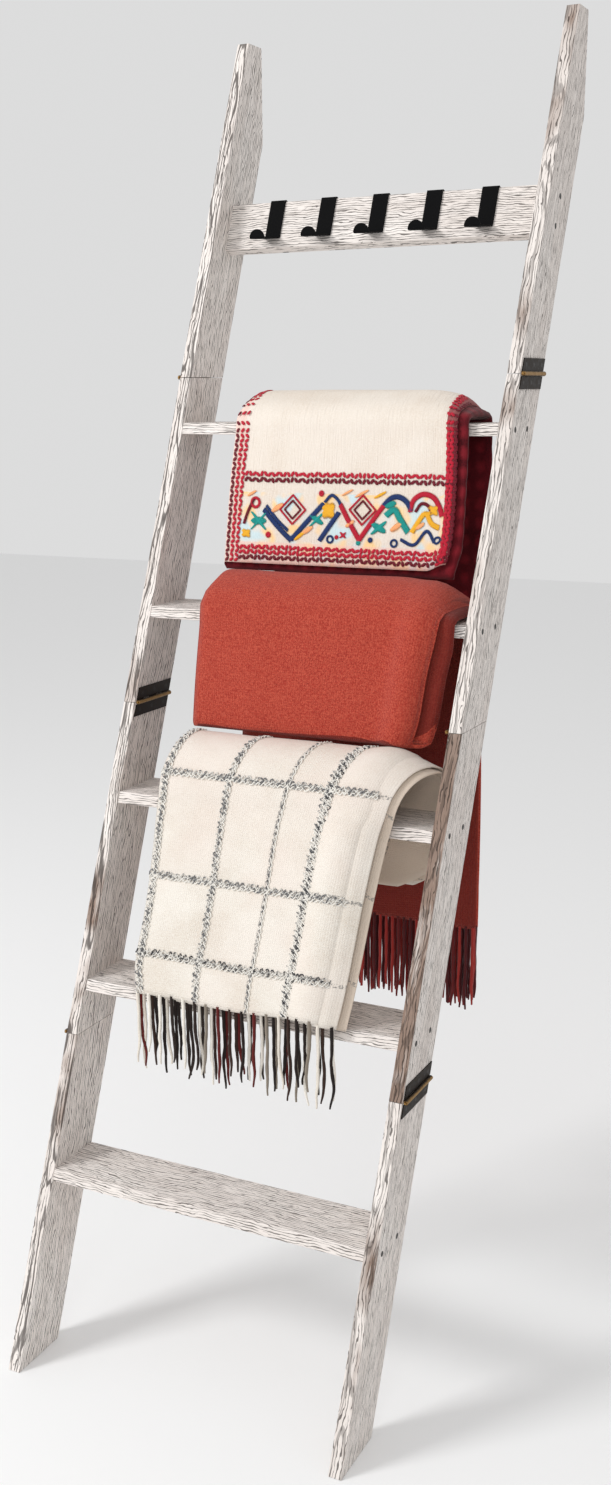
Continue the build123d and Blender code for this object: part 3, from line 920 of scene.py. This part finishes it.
class Embroidery:
    """Stitches gathered on the outer face of a folded cloth, in metres across and up."""

    def __init__(self, fold):
        self.fold = fold
        self.spots, self.normals, self.ways, self.sizes, self.tints = [], [], [], [], []

    def share(self, x, s):
        low, high = self.fold.along(s, self.fold.left), self.fold.along(s, self.fold.right)
        return (x - low) / (high - low)

    def stitch(self, share, s, angle, long, wide, tint):
        """angle is from straight across, towards straight up."""
        spot, ahead, normal = self.fold.frame_at(share, s)
        aside = np.cross(ahead, normal)
        angle = np.asarray(angle)[..., None] if np.ndim(angle) else angle
        way = aside * np.cos(angle) + ahead * np.sin(angle)
        self.spots.append(spot)
        self.normals.append(normal)
        self.ways.append(way)
        count = len(spot)
        self.sizes.append(np.stack([np.broadcast_to(size, count)
                                    for size in (long, wide, THREAD_RISE)], -1))
        self.tints.append(np.broadcast_to(tint, count))

    def stroke(self, points, width, tint):
        """Satin stitch along a line of (x, height) points."""
        line = curve_through(points, 0.0011)
        way = np.gradient(line, axis=0)
        s = np.array([self.fold.height_to_s(z) for z in line[:, 1]])
        angle = np.arctan2(way[:, 1], way[:, 0]) + pi / 2 + 0.25
        self.stitch(self.share(line[:, 0], s), s, angle, width, 0.0017, tint)

    def fill(self, x, z, wide, high, tint, slant=0.6):
        """A leaf-shaped patch of stitches side by side."""
        across = np.arange(-wide / 2, wide / 2, 0.0013)
        reach = high * np.sqrt(np.clip(1 - (2 * across / wide) ** 2, 0.05, 1))
        height = z + across * slant * 0.8
        s = np.array([self.fold.height_to_s(h) for h in height])
        self.stitch(self.share(x + across, s), s, pi / 2 - slant * 0.4, reach, 0.0018, tint)

    def ring(self, x, z, radius, width, tint):
        turns = np.linspace(0, 2 * pi, 13)
        self.stroke([(x + radius * cos(t), z + radius * sin(t)) for t in turns], width, tint)

    def make(self, name, material):
        return stitches(name, *[np.concatenate(rows) for rows in (
            self.spots, self.normals, self.ways, self.sizes, self.tints)], material)


def quilt_motifs(work):
    """Peaks, nested diamonds, leaves, arches, discs and rings along the band."""
    low, high = BAND
    tall = high - low

    def up(points):
        return [(x / 1000, low + h / BAND_ROWS * tall) for x, h in points]

    bold, fine = 0.0088, 0.0056
    for points, width, tint in (
            ([(-92, 45), (-72, 26), (-50, 8), (-46, 8), (-24, 30), (2, 55)], bold, NAVY),
            ([(-88, 50), (-70, 32), (-52, 18)], fine, NAVY),
            ([(28, 54), (42, 33), (58, 11), (60, 11), (78, 35), (94, 55)], bold, CRIMSON),
            ([(94, 55), (104, 64), (116, 66), (128, 60), (136, 48)], bold, NAVY),
            ([(4, 57), (14, 66), (24, 60), (28, 54)], fine, NAVY),
            ([(26, 44), (12, 26), (-3, 6)], bold, NAVY),
            ([(134, 48), (138, 62), (152, 70), (168, 66), (178, 52), (181, 42)], bold, CRIMSON),
            ([(142, 48), (150, 58), (160, 56), (166, 46)], fine, WINE),
            ([(138, 22), (156, 46), (166, 34), (178, 28)], 0.009, AMBER),
            ([(122, 12), (142, 6), (160, 24), (172, 10)], fine, NAVY),
            ([(98, 42), (110, 50), (118, 40), (132, 22)], 0.011, TEAL),
            ([(-124, 26), (-118, 42), (-108, 60)], fine, WINE)):
        work.stroke(up(points), width, tint)
    for x, h in ((-46, 46), (62, 48)):
        for r, tint in ((20, CRIMSON), (12.5, WINE)):
            points = up([(x - r, h), (x, h + r * 0.95), (x + r, h), (x, h - r * 0.95),
                         (x - r, h)])
            for start, end in zip(points, points[1:]):
                work.stroke([start, end], 0.0034, tint)
    for x, h, wide, tall_leaf, tint, slants in (
            (-100, 30, 24, 13, TEAL, (-1.2, 0.0, 1.2)), (-8, 34, 20, 12, TEAL, (-0.6, 1.1)),
            (88, 26, 22, 13, TEAL, (-0.5, 0.9)), (104, 56, 16, 12, TEAL, (0.3,)),
            (10, 46, 18, 24, AMBER, (0.5, -0.5)), (-70, 48, 18, 12, PEACH, (0.6,)),
            (-22, 20, 16, 12, PEACH, (0.6,)), (44, 30, 13, 10, PEACH, (0.6,)),
            (168, 50, 14, 14, AMBER, (0.6, -0.6)), (-112, 66, 14, 6, PEACH, (0.6,)),
            (-120, 13, 13, 12, AMBER, (0.4, -0.6)), (-34, 12, 15, 11, AMBER, (0.8,)),
            (88, 68, 18, 6, AMBER, (0.6,)), (38, 70, 16, 5, PEACH, (0.6,)),
            (60, 69, 20, 6, PEACH, (0.6,)), (114, 28, 16, 13, PEACH, (0.6,)),
            (150, 30, 13, 10, PEACH, (0.6,)), (34, 15, 9, 7, CRIMSON, (-0.9, 0.9))):
        for slant in slants:
            work.fill(*up([(x, h)])[0], wide / 1000, tall_leaf / 1000, tint, slant)
    for x, h, radius, width, tint in (
            (14, 9, 4.6, 3.6, NAVY), (112, 7, 4.6, 3.6, NAVY), (-106, 54, 6.5, 5.0, CRIMSON),
            (176, 12, 4.2, 3.6, NAVY), (-84, 12, 2.4, 5.2, CRIMSON), (58, 6, 1.9, 4.6, TEAL),
            (76, 10, 2.0, 4.8, NAVY), (-2, 68, 2.4, 5.0, CRIMSON), (24, 12, 1.6, 4.0, CRIMSON)):
        work.ring(*up([(x, h)])[0], radius / 1000, width / 1000, tint)


def leaf_row(work, s, tint, low=0.075, high=0.985, pitch=0.0060, lean=0.95):
    """Leaf stitches slanting alternately across the cloth, along one height."""
    x_low, x_high = work.fold.along(s, work.fold.left), work.fold.along(s, work.fold.right)
    count = int((high - low) * (x_high - x_low) / pitch)
    share = np.linspace(low, high, count)
    slant = np.where(np.arange(count) % 2 == 0, lean, pi - lean)
    slant = slant + 0.5 * bumps(np.column_stack([share * 90, 0 * share + s * 50, 0 * share]), 4)
    sway = 0.001 * bumps(np.column_stack([share * 60, 0 * share + s * 9, 0 * share]), 8)
    work.stitch(share, s + sway, slant, 0.0092, 0.0052, tint)


def leaf_column(work, inset, right, s_range, tint, pitch=0.0064, lean=0.8):
    """Leaf stitches up the cloth, a little way in from its left or right edge."""
    fold = work.fold
    s = np.arange(*s_range, pitch)
    width = fold.along(s, fold.right) - fold.along(s, fold.left)
    share = 1 - inset / width if right else inset / width
    slant = np.where(np.arange(len(s)) % 2 == 0, lean, pi - lean)
    slant = slant + 0.3 * bumps(np.column_stack([s * 90, s * 0 + inset * 300, s * 0]), 6)
    work.stitch(share, s, slant, 0.0086, 0.0050, tint)


class LADDER_OT_quilt(bpy.types.Operator):
    """Fold the embroidered quilt over the top tread"""
    bl_idname = "ladder.quilt"
    bl_label = "Quilt"

    def execute(self, context):
        own = context.scene.ladder_quilt
        fold = Fold(
            "tread_5", front=(0.026, 0.10, 0.195), back=(0.020, 0.301), thick=0.018,
            crest=(0.003, 0.046, 0.006), cloth=own.layer, layers=3, doubled=False,
            left=([(1.098, -0.155), (1.185, -0.150), (1.240, -0.146), (1.276, -0.140),
                   (1.293, -0.138)], [(1.28, -0.150), (0.99, -0.150)]),
            right=([(1.098, 0.185), (1.112, 0.195), (1.16, 0.197), (1.22, 0.197),
                    (1.285, 0.193)], [(1.285, 0.184), (1.25, 0.186), (0.99, 0.190)]),
            right_step=(0.0, 0.009, 0.012), left_step=(0.0, 0.0, 0.004), seed=3, inside="quilt",
            droop=(0.075, 0.42), left_droop=0.30, wave=0.0024, squeeze=0.45,
            hem=lambda share, layer: 0.010 * smoothstep(share, 0.93, 1.0) * (layer < 0.3)
            - 0.010 * np.clip(layer, 0, 1))
        cream, shade = woven("quilt_cream", own.cream[:] + (1,), srgb(239, 232, 223),
                             srgb(216, 202, 186), thread=0.0009, depth=0.00022, sheen=0.1)
        crinkle = cream.noise(cream.place(source="UV"), (420, 26, 1))
        flat = cream.split(cream.place(source="UV"))
        inside = cream.mul(cream.math("LESS_THAN", flat[1], 0.100),
                           cream.math("LESS_THAN", flat[0], FACE_WIDTH))
        for size, shift, tone, most in ((34.0, 0.0, srgb(250, 205, 132), 0.75),
                                        (31.0, 3.0, srgb(196, 224, 232), 0.8)):
            dye = cream.noise(cream.place(shift=(shift, 0, 0)), size, 1.0, 0.4)
            dye = cream.mul(cream.ramp(dye, (0.51, 0.0), (0.62, most)), inside)
            shade = cream.mix(dye, shade, tone)
        shade = cream.mix(cream.mul(cream.math("LESS_THAN", flat[0], 0.0135), 0.85),
                          shade, srgb(140, 26, 44))
        blush = cream.math("GREATER_THAN", flat[0], FACE_WIDTH)
        blush = cream.most(blush, cream.math("LESS_THAN", flat[1], 0.030))
        cream.set(Base_Color=cream.mix(cream.mul(blush, 0.5), shade,
                                       srgb(240, 190, 178)))
        cream.bump((crinkle, 0.0011), (cream.noise(cream.place(), 700.0, 3.0, 0.6), 0.0002))
        wine, shade = woven("quilt_backing", own.backing[:] + (1,), srgb(122, 24, 36),
                            srgb(58, 6, 14), thread=0.0009, depth=0.0002, sheen=0.15)
        flat = wine.split(wine.place(source="UV"))
        # Painted highlight: the middle of each quilted cell is painted a lighter maroon where the
        # puffs would catch the light; noise makes it uneven.
        cells = wine.math("ABSOLUTE", wine.mul(*[wine.math(
            "SINE", wine.mul(axis, pi / pitch))
            for axis, pitch in zip(flat, QUILTING)]))
        worn = wine.noise(wine.place(), 95.0, 3.0, 0.6)
        cells = wine.add(cells, wine.sub(worn, 0.5))
        wine.set(Base_Color=wine.mix(wine.ramp(cells, (0.35, 0.0), (1.05, 0.45)), shade,
                                     srgb(150, 34, 46)))

        def puff(u, v, layer):
            """Thickest between the lines of quilting."""
            across, along = QUILTING
            cells = np.abs(np.sin(pi * u / across) * np.sin(pi * v / along))
            plain = 0.80 + 0.08 * bumps(np.column_stack([u * 14, v * 14, 0 * u]), 2)
            return np.clip(np.where(layer < 0.5, plain, 0.38 + 0.62 * cells ** 0.5), 0, 1)

        quilt = fold.sheet("quilt_cloth", 0.0058, True, [cream.material, wine.material], puff)
        threads = thread_finish("embroidery_thread", srgb(26, 52, 104), srgb(186, 24, 50),
                                srgb(22, 150, 142), srgb(238, 178, 44), srgb(108, 16, 34),
                                srgb(246, 176, 120), rough=0.55, sheen=0.1)
        motifs = Embroidery(fold)
        quilt_motifs(motifs)
        motif = motifs.make("quilt_motifs", threads)
        borders = Embroidery(fold)
        for z, tint in ((1.2205, CRIMSON), (1.2125, WINE),
                        (1.1190, CRIMSON), (1.1120, CRIMSON), (1.1045, WINE)):
            leaf_row(borders, fold.height_to_s(z), tint)
        whole = (0.004, fold.length - 0.004)
        for inset in (0.0035, 0.0115, 0.0195):
            leaf_column(borders, inset, False, whole, WINE if inset < 0.004 else CRIMSON)
        for inset in (0.0005, 0.0055, 0.0105):
            leaf_column(borders, inset, True, (whole[0], fold.split),
                        CRIMSON if inset > 0.004 else WINE, pitch=0.0052)
        border = borders.make("quilt_borders", threads)
        for piece in (quilt, motif, border):
            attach(piece, "quilt_body")
        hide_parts("quilt")
        return {"FINISHED"}


# --- wool throw -------------------------------------------------------------------

class LADDER_OT_wool(bpy.types.Operator):
    """Fold the red wool throw over the fourth tread, its fringe behind"""
    bl_idname = "ladder.wool"
    bl_label = "Wool throw"

    def execute(self, context):
        own = context.scene.ladder_wool
        fold = Fold(
            "tread_4", front=(0.028, 0.10, 0.164), back=(0.024, 0.461), thick=0.020,
            crest=(0.003, 0.054, 0.006), cloth=own.layer, layers=3, doubled="front",
            left=([(0.874, -0.157), (0.95, -0.154), (1.02, -0.148), (1.037, -0.146)],
                  [(1.0, -0.150), (0.575, -0.156)]),
            right=([(0.870, 0.180), (0.885, 0.190), (0.935, 0.195), (0.975, 0.199),
                    (1.03, 0.213)], [(1.0, 0.222), (0.80, 0.229), (0.575, 0.231)]),
            right_step=(0.0, 0.002, 0.001), left_step=(0.0, 0.0, 0.004), seed=11,
            inside="wool_throw",
            droop=(0.085, 0.70), left_droop=0.0, wave=0.0030, squeeze=0.92, roll=0.020,
            ply_step=0.024, swell=(0.014, 0.83))
        red, shade = woven("brick_wool", own.colour[:] + (1,), srgb(216, 104, 80),
                           srgb(146, 44, 34), thread=0.0018, nap=0.9, depth=0.0005,
                           sheen=0.12, blotch=430.0, mottle=0.55)
        # Painted shade: the inner ply, past the outer ply's run along the cloth, is painted darker
        # red, standing in for the shade of the outer ply's roll.
        inner = red.math("GREATER_THAN", red.split(red.place(source="UV"))[1], fold.length)
        red.set(Base_Color=red.mix(red.mul(inner, 0.75), shade, srgb(96, 24, 20)))
        wool = fold.sheet("wool_cloth", 0.0092, False, [red.material])
        inner.node.inputs[1].default_value = fold.outer_run
        strands = thread_finish("wool_yarn", srgb(128, 30, 28), srgb(98, 20, 22),
                                srgb(150, 40, 34), srgb(78, 14, 18), sheen=0.15)
        share = np.linspace(0.004, 0.996, 60)
        lines = [fold.place(share, fold.length - 0.001, layer=layer, ply=ply)
                 for ply in (1.0, -1.0) for layer in (0.0, 2.0)]
        hanging = fringe("wool_strands", lines, strands, own.strands, own.fringe,
                         own.yarn, 21, spread=0.10, twist=0.8, shortest=0.84)
        for piece in (wool, hanging):
            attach(piece, "wool_body")
        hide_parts("wool_throw")
        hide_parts("wool_fringe")
        return {"FINISHED"}


# --- plaid throw ------------------------------------------------------------------

# place, half width, yarns, darkness: an upright's place is its share of the width, and a
# crossing's is its height
UPRIGHTS = ((0.032, 0.0050, 4, 0.35), (0.332, 0.0048, 4, 0.5), (0.602, 0.0019, 2, 0.55),
            (0.788, 0.0078, 6, 1.0))
CROSSINGS = ((0.575, 0.0052, 4, 0.65), (0.678, 0.0050, 4, 0.4), (0.815, 0.0050, 4, 0.35))
NEXT_CROSSING = 0.148         # from the crossing at the crest to the one behind it


class LADDER_OT_plaid(bpy.types.Operator):
    """Fold the cream plaid throw over the third tread, its fringe in front"""
    bl_idname = "ladder.plaid"
    bl_label = "Plaid throw"

    def execute(self, context):
        own = context.scene.ladder_plaid
        fold = Fold(
            "tread_3", front=(0.026, tan(LEAN), 0.259), back=(0.024, 0.120), thick=0.022,
            crest=(0.060, 0.092, 0.046), cloth=own.layer, layers=4, doubled="back",
            left=([(0.516, -0.146), (0.56, -0.160), (0.60, -0.155), (0.66, -0.156),
                   (0.71, -0.160), (0.77, -0.166), (0.82, -0.163), (0.839, -0.152)],
                  [(0.80, -0.150), (0.66, -0.150)]),
            right=([(0.516, 0.148), (0.56, 0.152), (0.62, 0.155), (0.675, 0.157),
                    (0.733, 0.161), (0.786, 0.166), (0.816, 0.173), (0.839, 0.196)],
                   [(0.835, 0.214), (0.80, 0.224), (0.74, 0.227), (0.70, 0.217), (0.675, 0.196),
                    (0.662, 0.150)]),
            right_step=(0.0, 0.0, 0.013, 0.013), left_step=(0.0, 0.002, 0.002, 0.006), seed=23,
            inside="plaid_throw",
            droop=(0.06, 0.25), wave=0.0034, squeeze=0.88, roll=0.018,
            ply_step=0.010, swell=(0.016, 0.77),
            hem=lambda share, layer: 0.004 * share + 0.002 * np.sin(share * 9 + layer))
        wool, shade = woven("plaid_cream", own.cream[:] + (1,), srgb(246, 243, 236),
                            srgb(214, 202, 188), thread=0.0017, nap=0.9, depth=0.00035,
                            sheen=0.2, blotch=11.0)
        sheet_length = 2 * (fold.length - 0.011)
        flat = wool.split(wool.place(source="UV"))
        ragged = wool.noise(wool.place(), 420.0, 2.0, 0.6)
        along = wool.math("PINGPONG", flat[1], sheet_length / 2)
        span = float(np.median(fold.right - fold.left))
        u_places = [place * span for place, *_ in UPRIGHTS]
        v_places = [fold.height_to_s(z) for z, *_ in CROSSINGS]
        v_places.append(v_places[-1] + NEXT_CROSSING)
        lines = wool.most(stripe(wool, flat[0], u_places, 0.0032, ragged),
                          stripe(wool, along, v_places, 0.0030, ragged))
        broken = wool.ramp(wool.noise(wool.place(), 330.0, 2.0, 0.5), (0.44, 0.0), (0.56, 1.0))
        marks = wool.mul(wool.mul(lines, broken), 0.75)
        inner = wool.math("GREATER_THAN", flat[1], fold.length)
        warm = wool.ramp(wool.noise(wool.place(), 7.0, 2.0, 0.5), (0.44, 0.0), (0.66, 0.45))
        shade = wool.mix(warm, shade, srgb(230, 215, 205))
        # Painted shade: the inner ply, past the outer ply's run along the cloth, is painted a
        # darker tan, standing in for the shade of the outer ply.
        shade = wool.mix(wool.mul(inner, 0.8), shade, srgb(208, 190, 172))
        wool.set(Base_Color=wool.mix(marks, shade, srgb(120, 118, 116)))
        plaid = fold.sheet("plaid_cloth", 0.0092, False, [wool.material])
        inner.node.inputs[1].default_value = fold.outer_run
        yarn = self.couch(fold, thread_finish(
            "boucle_yarn", srgb(52, 52, 56), srgb(112, 112, 114), srgb(182, 180, 176),
            srgb(244, 240, 232), sheen=0.25, twist=1400.0, flecks=0.85))
        strands = thread_finish(
            "fringe_yarn", srgb(240, 234, 224), srgb(34, 24, 21), srgb(58, 40, 33),
            srgb(96, 26, 24), srgb(30, 22, 20), srgb(232, 224, 212),
            srgb(44, 34, 30), srgb(138, 128, 116), sheen=0.1)
        share = np.linspace(0.01, 0.99, 60)
        lines = [fold.place(share, 0.0012, layer=layer) for layer in (0.0, 2.0, 3.0)]
        hanging = fringe("plaid_strands", lines, strands, own.strands, own.fringe,
                         own.yarn, 5, spread=0.26, twist=1.0, shortest=0.72)
        for piece in (plaid, yarn):
            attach(piece, "plaid_body")
        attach(hanging, "plaid_body")
        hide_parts("plaid_throw")
        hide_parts("plaid_fringe")
        return {"FINISHED"}

    def couch(self, fold, material):
        """The windowpane of looped yarn on the outer face."""
        lines, normals, sides, widths, phases, tints = [], [], [], [], [], []

        def lay(share, s, half, count, dark):
            spot, ahead, normal = fold.frame_at(share, s)
            way = np.gradient(spot, axis=0)
            way /= np.linalg.norm(way, axis=1)[:, None]
            side = np.cross(normal, way)
            for number in range(count):
                shade = number / max(count - 1, 1)
                lines.append(spot + side * half * 1.3 * (shade - 0.5))
                normals.append(normal)
                sides.append(side)
                widths.append(np.full(len(spot), half * (0.40 + 0.25 * (number % 2))))
                phases.append(np.full(len(spot), 2.1 * number))
                pick = (0.9, 0.1, 0.6, 0.1, 0.9, 0.3)[number] if dark > 0.6 else (
                    0.9, 0.3, 0.6, 0.3)[number]
                tints.append(np.full(len(spot), pick))

        s = np.arange(0.002, fold.length - 0.012, 0.006)
        for share, half, count, dark in UPRIGHTS:
            lay(np.full(len(s), share), s, half, count, dark)
        places = [(fold.height_to_s(z), half, count, dark) for z, half, count, dark in CROSSINGS]
        far = places[-1]
        places.append((far[0] + NEXT_CROSSING,) + far[1:])
        share = np.linspace(0.004, 0.990, 150)
        for at, half, count, dark in places:
            lay(share, np.full(len(share), at), half, count, dark)
        return boucle("plaid_yarn", lines, normals, sides, widths, phases, tints, material,
                      0.00095)


# --- stage ------------------------------------------------------------------

def area_light(name, place, size, power):
    """Square light aimed at the middle of the ladder."""
    data = bpy.data.lights.new(name, "AREA")
    data.size = size
    data.energy = power
    lamp = scene_object(name, data)
    lamp.location = place
    lamp.rotation_euler = (Vector((0, 0, 0.9)) - Vector(place)).to_track_quat("-Z", "Y").to_euler()


class LADDER_OT_stage(bpy.types.Operator):
    """Lay a plain pale floor, soft studio light and the camera"""
    bl_idname = "ladder.stage"
    bl_label = "Stage"

    def execute(self, context):
        paper = Shader("stage_paper")
        paper.set(Base_Color=srgb(243, 243, 243), Roughness=0.9, Specular_IOR_Level=0.1)
        floor = mesh_object("stage_floor", [(-9, -9, 0), (9, -9, 0), (9, 9, 0), (-9, 9, 0)],
                            [(0, 1, 2, 3)], paper.material)
        floor.location.z = CAD_BOX[0].z - 0.0005
        world = bpy.data.worlds.new("studio")
        world.use_nodes = True
        world.node_tree.nodes["Background"].inputs[0].default_value = (1, 1, 1, 1)
        world.node_tree.nodes["Background"].inputs[1].default_value = 0.72
        context.scene.world = world
        context.scene.view_settings.view_transform = "Standard"
        area_light("key", (-2.6, -2.6, 3.2), 1.2, 95)
        area_light("fill", (1.5, -4.2, 2.2), 2.0, 23)
        data = bpy.data.cameras.new("camera")
        data.lens = 36.6
        data.sensor_width = 36.0
        data.shift_y = 0.0808
        data.clip_end = 50
        camera = scene_object("camera", data)
        turn = Euler((radians(90 - 17.29), 0, radians(26.71))).to_matrix()
        turn = turn @ Matrix.Rotation(radians(-0.396), 3, "Z")
        camera.rotation_euler = turn.to_euler()
        camera.location = (0.9524, -1.8539, 1.3326)
        context.scene.camera = camera
        return {"FINISHED"}


class LADDER_PT_panel(bpy.types.Panel):
    """Pieces of the ladder, in the order they are made"""
    bl_idname = "LADDER_PT_panel"
    bl_label = "Blanket ladder"
    bl_space_type = "VIEW_3D"
    bl_region_type = "UI"
    bl_category = "Ladder"

    def draw(self, context):
        scene = context.scene
        for settings, *operators in SHOWN:
            box = self.layout.box()
            for operator in operators:
                box.operator(operator)
            if settings:
                group = getattr(scene, settings)
                for key in group.__annotations__:
                    box.prop(group, key)


SHOWN = ((None, "ladder.wood", "ladder.metal"), ("ladder_quilt", "ladder.quilt"),
         ("ladder_wool", "ladder.wool"), ("ladder_plaid", "ladder.plaid"),
         (None, "ladder.stage"))
SETTINGS = {"ladder_quilt": QuiltSettings, "ladder_wool": WoolSettings,
            "ladder_plaid": PlaidSettings}
CLASSES = (*SETTINGS.values(), LADDER_OT_wood, LADDER_OT_metal, LADDER_OT_quilt,
           LADDER_OT_wool, LADDER_OT_plaid, LADDER_OT_stage, LADDER_PT_panel)


def register():
    for item in CLASSES:
        bpy.utils.register_class(item)
    for name, group in SETTINGS.items():
        setattr(bpy.types.Scene, name, bpy.props.PointerProperty(type=group))


def unregister():
    for name in SETTINGS:
        delattr(bpy.types.Scene, name)
    for item in reversed(CLASSES):
        bpy.utils.unregister_class(item)


def main():
    register()
    bpy.ops.ladder.wood()
    bpy.ops.ladder.metal()
    bpy.ops.ladder.quilt()
    bpy.ops.ladder.wool()
    bpy.ops.ladder.plaid()
    bpy.ops.ladder.stage()


if __name__ == "__main__":
    main()
